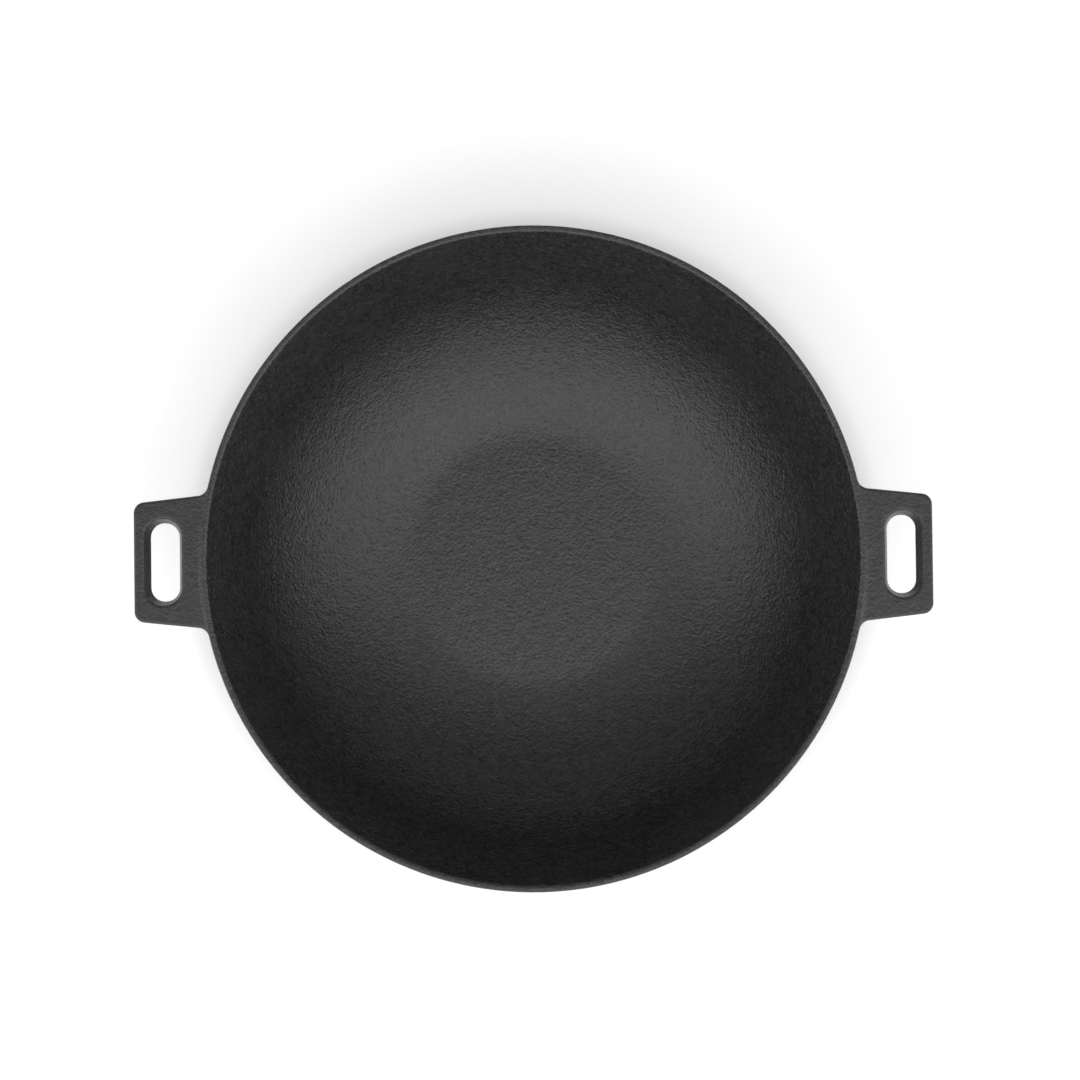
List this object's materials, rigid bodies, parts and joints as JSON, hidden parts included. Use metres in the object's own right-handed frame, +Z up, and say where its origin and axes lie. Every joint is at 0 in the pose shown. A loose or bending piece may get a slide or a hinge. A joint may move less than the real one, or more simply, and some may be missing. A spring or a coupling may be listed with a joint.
{
  "type": "cast iron kadai",
  "caption": "Deep round-bottomed cast iron pan with a flat base, steep flared wall, rounded rim and slotted carrying lugs cast on opposite sides.",
  "frame": {"origin": "centre of the underside of the flat base, on the standing surface", "axes": "+Z up along the bowl's axis, +X through the middle of one carrying lug"},
  "size_m": [0.3596, 0.3, 0.086],
  "materials": {
    "seasoned_iron": "dark oil-seasoned casting, satin, fine sand grain"
  },
  "bodies": {
    "root": {"kadai": "seasoned_iron"}
  },
  "joints": []
}
